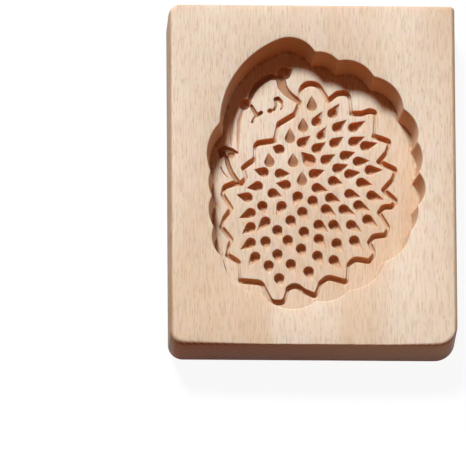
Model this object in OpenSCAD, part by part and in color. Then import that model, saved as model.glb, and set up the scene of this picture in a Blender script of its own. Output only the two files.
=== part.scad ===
// Cookie mould carved from one beech block, with a hedgehog in a scalloped hollow.
// Millimetres. X runs across the grain, Y along it, Z up. The origin is the middle of
// the underside, and the carved face looks up.

/* [Block] */
// Width of the block, across the grain
block_w = 97; // [90:0.5:130]
// Length of the block, along the grain
block_l = 120; // [112:0.5:160]
// Thickness of the block
block_t = 19; // [16:0.5:30]
// Radius of the upright corner at the front left
front_left_r = 5; // [2:0.5:10]
// Radius of the upright corner at the front right
front_right_r = 7; // [2:0.5:10]
// Radius of the upright corner at the back right
back_right_r = 1.6; // [1.6:0.2:10]
// Radius of the upright corner at the back left
back_left_r = 4; // [2:0.5:10]
// Radius of the sanded round on the long edges
edge_r = 0.5; // [0.3:0.1:1.5]

/* [Hollow] */
// Depth of the scalloped hollow below the top face
hollow_depth = 12; // [8:0.5:13]
// How far the wall leans inwards between its rim and the floor
wall_lean = 1.5; // [0.5:0.1:2]

/* [Carving] */
// Width of the groove round the quill coat
coat_groove_w = 2; // [1.4:0.1:2.4]
// Depth of the groove round the quill coat
coat_groove_d = 2.4; // [1.2:0.1:2.8]
// Depth of a stroke of the face or the paw as a share of its width
stroke_ratio = 0.9; // [0.4:0.05:1.1]
// Most that a stroke is deep
stroke_d = 1.5; // [0.8:0.1:2]
// Depth of the soft chest folds as a share of their width
fold_ratio = 0.25; // [0.1:0.05:0.4]
// Radius of a quill pit at its round head
quill_r = 1.8; // [1.2:0.1:2.2]
// Depth of the quill pits, the nose and the ear below the floor of the hollow
pit_d = 2.9; // [1.8:0.1:3.2]
// Radius left at the pointed tail of a quill pit
quill_tip_r = 0.12; // [0.05:0.01:0.3]
// Radius of the nose hollow
nose_r = 1.9; // [1.2:0.1:2.4]
// Radius of the ear hollow
ear_r = 2.4; // [1.5:0.1:3]
// Radius of a toe hollow
toe_r = 1.3; // [0.8:0.1:1.8]

/* [Hidden] */
$fn = 64;

floor_z = block_t - hollow_depth;
// cutters stand this far proud of the face that they open
proud = 0.3;
// points on each rounded corner of a groove's path
corner_steps = 4;
// a pit's flat bottom and the most it is deep, as shares of its radius
pit_bottom = 0.8;
pit_steepness = 1.65;
// pits whose tail points within so many degrees of the hedgehog's head are shallow scoops
scoop_turn = 12;

// The rim at the top face starts with the crown over the head, [x, y, radius]. The long
// flank over the face touches it, and their centres lie on a line with this slope.
crown = [-7.5, 39, 9.75];
flank_r = 32.5;
touch_way = [-5, 12];

// Ridges of the rest of the rim, clockwise from the end of the crown to the flank.
// Each is [x, y, radius of the lobe that follows it].
ridges = [
    [1, 43.5, 8], [9, 40.5, 10.5], [21, 35, 12], [31, 23.5, 10],
    [35.5, 12, 10.5], [36, 1, 8], [35.5, -10.5, 10], [33, -19.5, 13],
    [24, -30.5, 12.5], [12, -40.5, 11], [1, -44.5, 12.5], [-17.5, -42, 13],
    [-30.5, -29.5, 9.5], [-33.5, -18.5, 11.5], [-34, -7.5, 10], [-34.5, 1, 16],
    [-31, 18.5, 0]
];

// Corners of the groove round the quill coat, clockwise from the forehead.
// Each is [x, y, rounding radius], and 0 leaves the corner sharp.
coat_corners = [
    [-3.5, 29.5, 0], [-3.5, 36, 3.5], [2.5, 36, 3.5], [6, 30, 0],
    [9, 32.5, 2], [13, 33, 2], [14, 25.5, 0], [17.5, 25.5, 2.5],
    [20, 26.5, 2], [22, 26, 0], [21.5, 17.5, 0], [27, 15.5, 0],
    [25.5, 11.5, 2], [23, 8.5, 0], [29, 5.5, 0], [27.5, 2, 2],
    [24.5, -1.5, 0], [29, -5.5, 0], [27, -7.5, 0], [24.5, -7.5, 2],
    [23, -9.5, 0], [26.2, -15, 0], [25, -17.5, 0], [21, -18, 2],
    [19.5, -20, 0], [21.5, -24, 2], [19.5, -26.8, 0], [14.5, -26, 2.5],
    [12.5, -28, 0], [11.8, -34.3, 0], [5.5, -32.5, 2.5], [3, -34.5, 0],
    [1.2, -39.2, 0], [-2.5, -37.6, 3], [-5.5, -35.2, 2.5], [-8, -36.6, 0],
    [-9.5, -41.6, 1.8], [-13.5, -41.6, 2], [-17, -34.6, 2.5], [-24.2, -34, 0],
    [-24.6, -27.4, 0], [-28.5, -24.9, 0], [-28, -22, 2], [-27, -19.5, 0],
    [-30.5, -15, 0], [-29.5, -12, 2], [-27, -8.5, 0], [-30, -3.5, 0],
    [-29.5, -1, 1.8], [-26, 0.5, 2.5], [-23.5, 0.5, 0], [-22, 2.5, 0],
    [-23, 6, 0], [-19.2, 9, 0], [-18.9, 14.6, 2], [-12.3, 15.7, 0],
    [-11, 21.5, 2], [-5.5, 25, 2]
];

// Quill pits in rows from the forehead down, each [x, y, way its tail points, length].
// A fifth value is the head's own radius, where it differs from the others.
quills = [
    [0.5, 28, 90, 4],
    [7.5, 25.5, 55, 4.5], [2, 22.5, 60, 4.5], [-2.5, 20.5, 90, 3.5],
    [14.5, 20.5, 30, 5], [9, 20.5, 40, 4.5], [3.5, 17.5, 60, 4, 1.5], [-3, 15, 40, 4],
    [-7, 16.5, 90, 4],
    [18.5, 14, 15, 4.5], [14.5, 15.5, 25, 4.5], [8, 15, 35, 4], [2, 13, 35, 4],
    [11.5, 10.5, 20, 4], [5, 9, 30, 4], [-0.5, 8.7, 132, 4.2, 2.2], [-6, 8, 90, 3.5],
    [-10.6, 12.6, 160, 2.5], [-14, 8, 95, 3.5],
    [20, 5.5, 0, 4.5], [16, 8.5, 5, 4], [9, 6, 20, 4], [13, 4, 10, 4], [1, 4, 20, 4],
    [-3, 1.5, 90, 3.5], [-10.5, 4, 0, 3.5], [-16, 4.5, 165, 3.5],
    [17, 1, 350, 4], [7.5, 1.5, 345, 3.5], [2, -1, 345, 4], [-8.5, 0, 170, 3.5],
    [-18, -0.5, 190, 4],
    [20.5, -3.5, 340, 4.5], [13, -3, 345, 4], [6.5, -4.5, 340, 4], [0.5, -5.5, 300, 4],
    [-4.5, -4, 250, 4], [-13, -3, 340, 3.5], [-21.5, -4.5, 165, 4],
    [16, -7, 335, 4.5], [11, -8.5, 335, 4.5], [5, -8.5, 325, 4.5], [-3, -9.5, 300, 4],
    [-10, -7.5, 245, 4], [-16.5, -7.5, 290, 3.5],
    [19, -12, 325, 4.5], [13.5, -14, 325, 4.5], [7.5, -14, 315, 4.5], [2.5, -14, 320, 4.5],
    [-2.5, -16.5, 290, 4.5], [-7, -12.5, 300, 4], [-11.5, -16, 295, 4], [-15.5, -13, 230, 4.5],
    [-20.5, -10, 205, 4.5],
    [14.5, -19.5, 310, 4.5], [8.5, -20.5, 305, 4.5], [2.5, -19, 305, 4.5],
    [-3.5, -22.5, 290, 4.5], [-8, -19.5, 285, 4.5], [-15.5, -20, 280, 4.5],
    [-20.5, -15, 220, 4],
    [7.5, -26.5, 310, 4.5], [2, -25, 300, 4.5], [-7, -28, 290, 4.5], [-11.5, -24.5, 285, 4.5],
    [-20.5, -20.5, 215, 4.5],
    [-1, -30.5, 290, 4.5], [-11, -33, 280, 4.5], [-14.5, -28.5, 275, 4.5],
    [-19, -25.5, 235, 4]
];

// Strokes of the face and the paw, each a path of [x, y, width].
snout_line = [[-20.3, 31, 1.6], [-19.6, 33, 2], [-18.2, 35, 2.2], [-16, 37, 2.2],
    [-13.5, 38.4, 2.2], [-10.5, 38, 1.6]];
forehead_line = [[-10, 37.8, 3.4], [-9.5, 35, 3.2], [-8, 32.8, 2.6], [-6.3, 31.3, 2.2],
    [-3.9, 29.8, 1.8]];
smile_line = [[-20, 28, 0.8], [-19.2, 26.4, 1], [-18.1, 24.6, 1.1], [-16.7, 25.6, 1.2]];
chin_line = [[-18.2, 24.6, 0.7], [-19.2, 23.7, 0.6], [-19.7, 22.2, 0.9]];
brow_line = [[-12.2, 26.8, 1], [-11.6, 28.2, 0.6], [-11.9, 30.5, 1], [-11, 30.7, 1.3],
    [-9.9, 29.5, 1.2]];
lid_line = [[-9.6, 29, 0.5], [-9.4, 27.8, 0.5], [-10, 26.6, 0.4]];
paw_line = [[-30.7, 12, 1.8], [-29, 12.6, 2.4], [-27.2, 12, 2.2], [-24.8, 11.3, 0.8]];
leg_line = [[-28.6, 9.8, 1.4], [-28, 7, 1.6], [-26.8, 4, 1.6], [-25, 1.3, 1.6]];
leg_crease = [[-30.5, 6, 0.5], [-29.7, 4.2, 0.6], [-28.3, 2.6, 0.4]];
chest_folds = [
    [[-25, 27, 1], [-26.4, 22.8, 1.8], [-27, 18, 1.8], [-27, 14, 1]],
    [[-22.7, 27, 1], [-24.1, 22.8, 1.6], [-24.5, 17.5, 1.6], [-24.5, 12, 0.8]]
];
// hollows of the face and the paw, each [x, y, way the tail points, length]
nose = [-22.4, 28.4, 40, 3.4];
ear = [-9, 39.6, 25, 3.4];
eye = [-13.7, 26.2, 20, 1.8];
eye_r = 0.85;
toes = [[-29.9, 11, 250, 2], [-26.9, 10.7, 280, 2]];

function flat(p) = [p.x, p.y];
function unit(v) = v / norm(v);

// centre of a lobe of radius r that passes through a and b, on the right of a to b
function lobe_centre(a, b, r) =
    let (way = flat(b) - flat(a), half = norm(way) / 2)
    (flat(a) + flat(b)) / 2 + [way.y, -way.x] / norm(way) * sqrt(r * r - half * half);

function after(list, i) = list[(i + 1) % len(list)];

touch = flat(crown) + touch_way * crown.z / norm(touch_way);
flank_centre = touch - touch_way * flank_r / norm(touch_way);
lobe_centres = [for (i = [0 : len(ridges) - 2])
    lobe_centre(ridges[i], ridges[i + 1], ridges[i].z)];

// points of a closed path with its corners rounded
function rounded(path) = [for (i = [0 : len(path) - 1])
    let (here = flat(path[i]), r = path[i].z,
         back = unit(flat(path[(i + len(path) - 1) % len(path)]) - here),
         on = unit(flat(after(path, i)) - here),
         half = acos(back * on) / 2, cut = r / tan(half))
    each r == 0 ? [here]
        : let (c = here + unit(back + on) * (r / sin(half)),
               a0 = atan2((here + back * cut - c).y, (here + back * cut - c).x),
               a1 = atan2((here + on * cut - c).y, (here + on * cut - c).x),
               turn = a1 - a0 > 180 ? a1 - a0 - 360 : a1 - a0 < -180 ? a1 - a0 + 360 : a1 - a0)
          [for (k = [0 : corner_steps]) c + r * [cos(a0 + turn * k / corner_steps),
                                                 sin(a0 + turn * k / corner_steps)]]];

// how far a groove's side lies from its path at point i, mitred, for half a width of 1
function mitre(path, i, closed) =
    let (n = len(path), last = n - 1,
         before = closed || i > 0 ? unit(path[i] - path[(i + n - 1) % n]) : [0, 0],
         ahead = closed || i < last ? unit(path[(i + 1) % n] - path[i]) : [0, 0],
         mean = unit(before + ahead), side = [mean.y, -mean.x],
         ref = norm(before) > 0 ? before : ahead)
    side / max(0.4, side * [ref.y, -ref.x]);

// A round-bottomed groove along a path of [x, y] points, with its widths and depths.
// Its section has five points: two brinks, two flanks and the bed.
module groove(path, widths, depths, closed = false) {
    flank_x = 0.28;
    flank_z = 0.78;
    rails = 5;
    n = len(path);
    points = [for (i = [0 : n - 1])
        let (out = mitre(path, i, closed), w = widths[i], d = depths[i],
             splay = proud * (0.5 - flank_x) * w / (flank_z * d))
        each [for (q = [[-w / 2 - splay, proud], [-flank_x * w, -flank_z * d], [0, -d],
                        [flank_x * w, -flank_z * d], [w / 2 + splay, proud]])
            [path[i].x + out.x * q.x, path[i].y + out.y * q.x, floor_z + q.y]]];
    sides = [for (i = [0 : n - (closed ? 1 : 2)], j = [0 : rails - 1])
        let (a = i * rails, b = ((i + 1) % n) * rails, k = (j + 1) % rails)
        each [[a + j, a + k, b + j], [a + k, b + k, b + j]]];
    ends = closed ? [] : [[for (j = [rails - 1 : -1 : 0]) j],
                          [for (j = [0 : rails - 1]) (n - 1) * rails + j]];
    polyhedron(points, concat(sides, ends), convexity = 10);
}

module stroke(path, ratio = stroke_ratio) {
    groove([for (p = path) flat(p)], [for (p = path) p.z],
           [for (p = path) min(p.z * ratio, stroke_d)]);
}

// a hollow with a round head that runs out to a point, its head deep or, in a scoop, round
module teardrop(place, r, tip_r) {
    tilt = asin(r / place[3]);
    depth = min(pit_d, pit_steepness * r);
    taper = (1 - pit_bottom) * r / depth;
    translate([place.x, place.y, floor_z]) rotate([0, 0, place.z]) {
        if (abs(place.z - 90) < scoop_turn) sphere(r);
        else translate([0, 0, -depth])
            cylinder(h = depth + proud, r1 = pit_bottom * r, r2 = r + taper * proud);
        translate([r * sin(tilt), 0, 0]) rotate([0, 90, 0])
            cylinder(h = place[3] - r * sin(tilt), r1 = r * cos(tilt) * 0.985, r2 = tip_r);
    }
}

// the planed and sanded block, with every edge rounded and each corner worn its own way
module blank() {
    // anticlockwise from the front left, as the sides below follow each other
    corner_rs = [front_left_r, front_right_r, back_right_r, back_left_r];
    strip = max(corner_rs) + 1;
    module edge_profile(reach) {
        translate([0, edge_r]) square([reach, block_t - 2 * edge_r]);
        square([reach - edge_r, block_t]);
        for (z = [edge_r, block_t - edge_r]) translate([reach - edge_r, z]) circle(edge_r);
    }
    for (i = [0 : 3]) {
        out = (i % 2 == 0 ? block_l : block_w) / 2;
        along = (i % 2 == 0 ? block_w : block_l) / 2;
        r = corner_rs[i];
        next_r = after(corner_rs, i);
        rotate([0, 0, 90 * i - 90]) {
            translate([out - r, r - along, 0]) rotate_extrude() intersection() {
                edge_profile(r);
                square([r, block_t]);
            }
            translate([out - strip, along - next_r, 0]) rotate([90, 0, 0])
                linear_extrude(2 * along - r - next_r) edge_profile(strip);
        }
    }
    linear_extrude(block_t)
        square([block_w - 2 * strip + 1, block_l - 2 * strip + 1], center = true);
}

// one tapered lobe of the hollow, from the floor to just above the top face
module lobe(centre, r) {
    translate([centre.x, centre.y, floor_z])
        cylinder(h = hollow_depth + proud, r1 = r - wall_lean,
                 r2 = r + wall_lean * proud / hollow_depth);
}

// the part of a lobe on one side of the line where the crown and the flank touch
module half_lobe(centre, r, side) {
    across = [touch_way.y, -touch_way.x] * 6 * side;
    outer = touch + touch_way;
    inner = touch - touch_way * 6;
    intersection() {
        lobe(centre, r);
        translate([0, 0, floor_z - proud]) linear_extrude(hollow_depth + 3 * proud)
            polygon([outer, outer + across, inner + across, inner]);
    }
}

// the hollow: lobes round a core
module hollow() {
    half_lobe(crown, crown.z, 1);
    half_lobe(flank_centre, flank_r, -1);
    for (i = [0 : len(lobe_centres) - 1]) lobe(lobe_centres[i], ridges[i].z);
    translate([0, 0, floor_z]) linear_extrude(hollow_depth + proud)
        polygon(concat([flat(crown)], lobe_centres));
}

module coat_groove() {
    path = rounded(coat_corners);
    groove(path, [for (p = path) coat_groove_w], [for (p = path) coat_groove_d], closed = true);
}

module quill_pits() {
    for (q = quills) teardrop(q, len(q) > 4 ? q[4] : quill_r, quill_tip_r);
}

module face() {
    teardrop(nose, nose_r, quill_tip_r);
    teardrop(ear, ear_r, quill_tip_r);
    teardrop(eye, eye_r, quill_tip_r);
    for (s = [snout_line, forehead_line, smile_line, chin_line, brow_line, lid_line]) stroke(s);
    for (s = chest_folds) stroke(s, fold_ratio);
}

module paw() {
    for (t = toes) teardrop(t, toe_r, quill_tip_r);
    for (s = [paw_line, leg_line, leg_crease]) stroke(s);
}

module mould_block() {
    color("burlywood") difference() {
        blank();
        hollow();
        coat_groove();
        quill_pits();
        face();
        paw();
    }
}

mould_block();
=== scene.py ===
import bmesh
import bpy
import math
import numpy as np
from mathutils import Matrix, Vector
from mathutils.geometry import delaunay_2d_cdt


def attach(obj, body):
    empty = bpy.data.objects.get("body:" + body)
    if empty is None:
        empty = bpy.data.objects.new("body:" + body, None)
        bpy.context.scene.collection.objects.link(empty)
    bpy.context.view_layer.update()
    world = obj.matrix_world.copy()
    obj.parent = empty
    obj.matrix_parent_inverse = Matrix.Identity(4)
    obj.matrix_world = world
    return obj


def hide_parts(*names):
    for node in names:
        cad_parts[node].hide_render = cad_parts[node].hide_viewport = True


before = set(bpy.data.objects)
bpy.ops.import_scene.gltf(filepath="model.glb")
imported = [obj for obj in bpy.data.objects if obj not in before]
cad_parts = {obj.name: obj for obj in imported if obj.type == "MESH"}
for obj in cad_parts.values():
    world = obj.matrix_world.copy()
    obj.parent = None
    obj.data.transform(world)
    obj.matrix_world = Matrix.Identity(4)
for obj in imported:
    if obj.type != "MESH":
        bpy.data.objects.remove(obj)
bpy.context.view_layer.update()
bpy.ops.object.select_all(action="DESELECT")
mm = 0.001


# Small helpers

def hexColour(text):
    # sRGB hex to the linear numbers that shaders take
    parts = [int(text[i:i + 2], 16) / 255 for i in (1, 3, 5)]
    return [p / 12.92 if p <= 0.04045 else ((p + 0.055) / 1.055) ** 2.4 for p in parts] + [1.0]


def addNode(tree, kind, settings=None, links=None):
    # settings are the node's own options where it has one of that name, and sockets otherwise
    node = tree.nodes.new(kind)
    options = {k: v for k, v in (settings or {}).items() if isinstance(k, str) and hasattr(node, k)}
    for name, value in options.items():
        setattr(node, name, value)
    for name, value in (settings or {}).items():
        if name not in options:
            node.inputs[name].default_value = value
    for name, source in (links or {}).items():
        tree.links.new(source, node.inputs[name])
    return node


def newMaterial(name):
    material = bpy.data.materials.new(name)
    material.use_nodes = True
    material.node_tree.nodes.clear()
    return material, material.node_tree


def directRays(tree):
    # 1 for rays that come straight from the camera, off a gloss or through glass, 0 for others
    path = addNode(tree, "ShaderNodeLightPath")
    seen = addNode(tree, "ShaderNodeMath", {"operation": "MAXIMUM"},
                   {0: path.outputs["Is Camera Ray"], 1: path.outputs["Is Glossy Ray"]})
    return addNode(tree, "ShaderNodeMath", {"operation": "MAXIMUM"},
                   {0: seen.outputs[0], 1: path.outputs["Is Transmission Ray"]}).outputs[0]


def editMode(on=True):
    bpy.ops.object.mode_set(mode="EDIT" if on else "OBJECT")


def selectEdges(piece, wanted):
    # in edit mode: only the edges whose two ends pass the test
    bpy.ops.mesh.select_mode(type="EDGE")
    bpy.ops.mesh.select_all(action="DESELECT")
    shape = bmesh.from_edit_mesh(piece.data)
    for edge in shape.edges:
        edge.select = wanted(edge.verts[0].co, edge.verts[1].co)
    bmesh.update_edit_mesh(piece.data)


# The block: its blank, the wall of the hollow and the carved floor, in millimetres

blockShape = {
    "size": (97, 120, 19),
    # upright corners: side in x, side in y, radius
    "corners": [(-1, -1, 5), (1, -1, 7), (1, 1, 1.6), (-1, 1, 4)], "cornerSteps": 10,
    "arris": 0.5, "arrisSteps": 4,
    # the top arris is sanded wider down the left side, and on the front towards its ends:
    # x where that starts, x where it is full, and how many times wider
    "wornSide": 1.0, "wornLeft": (-16, -46, 2.9), "wornRight": (24, 46, 2.4),
    # lines across the block, so that the arris can widen between them: x
    "cuts": (-41, -38, -34, -29, -23, -16, 24, 30, 35, 39),
    # the hollow, with the heights of the rings up its wall
    "depth": 12, "lean": 1.5, "wallRings": (0, 3, 6, 9), "brink": 0.3, "brinkSteps": 3,
    "rimStep": 0.7, "fewestSteps": 6,    # spacing of the rim's points, and fewest in an arc
    "ridgeWear": 0.45,         # share by which each ridge is worn back
    "smoothAngle": 38,         # edges that turn less than this are shaded round, degrees
    # crown over the head and the long flank over the face, which touch: x, y, radius
    "crown": (-7.5, 39, 9.75), "flank": (1.25, 18, 32.5),
    # ridges round the rim, clockwise from the crown: x, y, radius of the lobe that follows
    "ridges": [
        (1, 43.5, 8), (9, 40.5, 10.5), (21, 35, 12), (31, 23.5, 10), (35.5, 12, 10.5), (36, 1, 8),
        (35.5, -10.5, 10), (33, -19.5, 13), (24, -30.5, 12.5), (12, -40.5, 11), (1, -44.5, 12.5),
        (-17.5, -42, 13), (-30.5, -29.5, 9.5), (-33.5, -18.5, 11.5), (-34, -7.5, 10),
        (-34.5, 1, 16), (-31, 18.5, 0)],
}

carving = {
    # widths of the groove round the quill coat, along the grain and across it, in millimetres;
    # depths as shares of the width, and the most they come to
    "coatWidths": (0.6, 1.95), "coatDepth": (1.25, 2.4), "strokeDepth": (1.1, 1.5),
    "foldDepth": (0.32, 0.6), "quillRadius": 1.75, "softBrink": 0.12,
    # depths as shares of the radius: heads of the pits, their tails along and across the grain,
    # and the shallow scoops that point within so many degrees of the hedgehog's head
    "quillDepth": 1.65, "tailDepths": (0.7, 1.5), "scoopDepth": 1.1, "scoopWay": 12,
    "pitDepth": 2.85,          # deepest that a pit goes, mm
    "groovePower": 4.0, "pitPower": 5.0, "scoopPower": 2.4,    # more is steeper and flatter
    # how much painted shade the carving gets, from the depth where it starts to the depth where it is
    # full:
    # 1 is the colour of the deep pits and the groove, and 2 that of the shallow pits and strokes
    "paintedShadeFrom": 0.1, "paintedShadeFull": (1.25, 0.9), "paintedShadeLevels": (1.0, 2.0),
    # painted shade on the wall of the hollow, less towards the front: how much there and here, y, y
    "wallPaintedShade": (0.25, 0.95, -28, -8),
    # corners of the groove round the quill coat, clockwise from the forehead: x, y, rounding
    "coat": [
        (-3.5, 29.5, 0), (-3.5, 36, 3.5), (2.5, 36, 3.5), (6, 30, 0), (9, 32.5, 2), (13, 33, 2),
        (14, 25.5, 0), (17.5, 25.5, 2.5), (20, 26.5, 2), (22, 26, 0.8), (21.5, 17.5, 0),
        (27, 15.5, 0.9), (25.5, 11.5, 2), (23, 8.5, 0), (29, 5.5, 0.9), (27.5, 2, 2), (24.5, -1.5, 0),
        (29, -5.5, 0.7), (27, -7.5, 0), (24.5, -7.5, 2), (23, -9.5, 0), (26.2, -15, 0.8),
        (25, -17.5, 0), (21, -18, 2), (19.5, -20, 0), (21.5, -24, 2), (19.5, -26.8, 0.8),
        (14.5, -26, 2.5), (12.5, -28, 0), (11.8, -34.3, 0.8), (5.5, -32.5, 2.5), (3, -34.5, 0),
        (1.2, -39.2, 0.8), (-2.5, -37.6, 3), (-5.5, -35.2, 2.5), (-8, -36.6, 0), (-9.5, -41.6, 1.8),
        (-13.5, -41.6, 2), (-17, -34.6, 2.5), (-24.2, -34, 0.7), (-24.6, -27.4, 0), (-28.5, -24.9, 0),
        (-28, -22, 2), (-27, -19.5, 0), (-30.5, -15, 0), (-29.5, -12, 2), (-27, -8.5, 0),
        (-30, -3.5, 0), (-29.5, -1, 1.8), (-26, 0.5, 2.5), (-23.5, 0.5, 0), (-22, 2.5, 0),
        (-23, 6, 0), (-19.2, 9, 0), (-18.9, 14.6, 2), (-12.3, 15.7, 0), (-11, 21.5, 2), (-5.5, 25, 2)],
    # quill pits in rows from the forehead down: x, y, way the tail points, length
    # and, where it differs, the head's own radius
    "quills": [
        (0.5, 28, 90, 4), (7.5, 25.5, 55, 4.5), (2, 22.5, 60, 4.5), (-2.5, 20.5, 90, 3.5),
        (14.5, 20.5, 30, 5), (9, 20.5, 40, 4.5), (3.5, 17.5, 60, 4, 1.5), (-3, 15, 40, 4),
        (-7, 16.5, 90, 4), (18.5, 14, 15, 4.5), (14.5, 15.5, 25, 4.5), (8, 15, 35, 4),
        (2, 13, 35, 4), (11.5, 10.5, 20, 4), (5, 9, 30, 4), (-0.5, 8.7, 132, 4.2, 2.2),
        (-6, 8, 90, 3.5), (-10.6, 12.6, 160, 2.5), (-14, 8, 95, 3.5), (20, 5.5, 0, 4.5),
        (16, 8.5, 5, 4), (9, 6, 20, 4), (13, 4, 10, 4), (1, 4, 20, 4), (-3, 1.5, 90, 3.5),
        (-10.5, 4, 0, 3.5), (-16, 4.5, 165, 3.5), (17, 1, 350, 4), (7.5, 1.5, 345, 3.5),
        (2, -1, 345, 4), (-8.5, 0, 170, 3.5), (-18, -0.5, 190, 4), (20.5, -3.5, 340, 4.5),
        (13, -3, 345, 4), (6.5, -4.5, 340, 4), (0.5, -5.5, 300, 4), (-4.5, -4, 250, 4),
        (-13, -3, 340, 3.5), (-21.5, -4.5, 165, 4), (16, -7, 335, 4.5), (11, -8.5, 335, 4.5),
        (5, -8.5, 325, 4.5), (-3, -9.5, 300, 4), (-10, -7.5, 245, 4), (-16.5, -7.5, 290, 3.5),
        (19, -12, 325, 4.5), (13.5, -14, 325, 4.5), (7.5, -14, 315, 4.5), (2.5, -14, 320, 4.5),
        (-2.5, -16.5, 290, 4.5), (-7, -12.5, 300, 4), (-11.5, -16, 295, 4),
        (-15.5, -13, 230, 4.5), (-20.5, -10, 205, 4.5), (14.5, -19.5, 310, 4.5),
        (8.5, -20.5, 305, 4.5), (2.5, -19, 305, 4.5), (-3.5, -22.5, 290, 4.5),
        (-8, -19.5, 285, 4.5), (-15.5, -20, 280, 4.5), (-20.5, -15, 220, 4),
        (7.5, -26.5, 310, 4.5), (2, -25, 300, 4.5), (-7, -28, 290, 4.5), (-11.5, -24.5, 285, 4.5),
        (-20.5, -20.5, 215, 4.5), (-1, -30.5, 290, 4.5), (-11, -33, 280, 4.5),
        (-14.5, -28.5, 275, 4.5), (-19, -25.5, 235, 4)],
    # nose, ear, eye and toes, as the quill pits
    "dents": [(-22.4, 28.4, 40, 3.4, 1.9), (-9, 39.6, 25, 3.4, 2.4), (-13.7, 26.2, 20, 1.8, 0.85),
              (-29.9, 11, 250, 2, 1.3), (-26.9, 10.7, 280, 2, 1.3)],
    # strokes of the face and the paw: x, y, width
    "strokes": [
        [(-20.3, 31, 1.6), (-19.6, 33, 2), (-18.2, 35, 2.2), (-16, 37, 2.2), (-13.5, 38.4, 2.2),
         (-10.5, 38, 1.6)],
        [(-10, 37.8, 3.4), (-9.5, 35, 3.2), (-8, 32.8, 2.6), (-6.3, 31.3, 2.2), (-3.9, 29.8, 1.8)],
        [(-20, 28, 1), (-19.2, 26.4, 1.3), (-18.1, 24.6, 1.3), (-16.7, 25.6, 1.3)],
        [(-18.2, 24.6, 0.7), (-19.2, 23.7, 0.6), (-19.7, 22.2, 0.9)],
        [(-12.2, 26.8, 1), (-11.6, 28.2, 0.8), (-11.9, 30.5, 1.1), (-11, 30.7, 1.4),
         (-9.9, 29.5, 1.3)],
        [(-9.6, 29, 0.7), (-9.4, 27.8, 0.6), (-10, 26.6, 0.5)],
        [(-30.7, 12, 1.8), (-29, 12.6, 2.4), (-27.2, 12, 2.2), (-24.8, 11.3, 0.8)],
        [(-28.6, 9.8, 1.4), (-28, 7, 1.6), (-26.8, 4, 1.6), (-25, 1.3, 1.6)],
        [(-30.5, 6, 0.5), (-29.7, 4.2, 0.6), (-28.3, 2.6, 0.4)]],
    # soft folds down the chest
    "folds": [[(-25, 27, 1.2), (-26.4, 22.8, 2.4), (-27, 18, 2.4), (-27, 14, 1.2)],
              [(-22.7, 27, 1.2), (-24.1, 22.8, 2), (-24.5, 17.5, 2), (-24.5, 12, 1)]],
    # the floor's map: rings in a pit, rails along a groove, and loose points between them
    "ringPoints": 30, "ringScales": (1.09, 1.03, 0.98, 0.92, 0.82, 0.66, 0.45, 0.22),
    "railShares": (1.12, 1.03, 0.95, 0.82, 0.6, 0.3), "railStep": 0.55, "capPoints": 9,
    "gridStep": 1.1, "gridRow": 0.87, "gridReach": ((-37, 38), (-46, 50)),
    "gridGap": 0.55, "footGap": 0.35, "mergeGap": 0.01,
}


def onCircle(centre, radius, angle):
    return np.array([centre[0] + radius * math.cos(angle), centre[1] + radius * math.sin(angle)])


def crossing(a, b, near):
    # the point where two circles cross, of the two the one nearer to a third point
    span = np.array(b[:2]) - np.array(a[:2])
    gap = np.linalg.norm(span)
    along = (gap ** 2 + a[2] ** 2 - b[2] ** 2) / (2 * gap)
    up = math.sqrt(max(a[2] ** 2 - along ** 2, 0))
    foot = np.array(a[:2]) + span / gap * along
    side = np.array([-span[1], span[0]]) / gap * up
    return min((foot + side, foot - side), key=lambda p: np.linalg.norm(p - np.array(near[:2])))


def rimCircles(shape):
    circles = [shape["crown"]]
    for a, b in zip(shape["ridges"], shape["ridges"][1:]):
        way = np.array(b[:2]) - np.array(a[:2])
        gap = np.linalg.norm(way)
        centre = (np.array(a[:2]) + np.array(b[:2])) / 2 \
            + np.array([way[1], -way[0]]) / gap * math.sqrt(a[2] ** 2 - gap ** 2 / 4)
        circles.append((centre[0], centre[1], a[2]))
    return circles + [shape["flank"]]


def touchPoint(shape, radius):
    # where a crown of this radius touches the flank, on the line through their middles
    crown = np.array(shape["crown"][:2])
    way = crown - np.array(shape["flank"][:2])
    return crown + way / np.linalg.norm(way) * radius


def hollowOutline(shape, inward):
    # the scalloped outline, clockwise, moved inward by so much, always with the same number of points
    circles = [(x, y, radius - inward) for x, y, radius in rimCircles(shape)]
    ends = [touchPoint(shape, circles[0][2])]
    ends += [crossing(a, b, r) for a, b, r in zip(circles, circles[1:], shape["ridges"])]
    points = []
    for i, (x, y, radius) in enumerate(circles):
        start, stop = ends[i], ends[(i + 1) % len(ends)]
        a0 = math.atan2(start[1] - y, start[0] - x)
        turn = (a0 - math.atan2(stop[1] - y, stop[0] - x)) % (2 * math.pi)
        count = shape["counts"][i]
        for k in range(count):
            points.append(onCircle((x, y), radius, a0 - turn * k / count))
    # each ridge is worn back a little
    points = np.array(points)
    starts = np.cumsum([0] + shape["counts"][:-1])
    for s in starts[1:]:
        middle = (points[s - 1] + points[s + 1]) / 2
        points[s] += (middle - points[s]) * shape["ridgeWear"]
    return points


def arcCounts(shape):
    # how many points each arc of the rim gets, the same at every height
    circles = rimCircles(shape)
    ends = [touchPoint(shape, shape["crown"][2])] + [np.array(r[:2]) for r in shape["ridges"]]
    counts = []
    for i, (x, y, radius) in enumerate(circles):
        start, stop = ends[i], ends[(i + 1) % len(ends)]
        turn = (math.atan2(start[1] - y, start[0] - x)
                - math.atan2(stop[1] - y, stop[0] - x)) % (2 * math.pi)
        counts.append(max(shape["fewestSteps"], round(turn * radius / shape["rimStep"])))
    return counts


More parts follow.
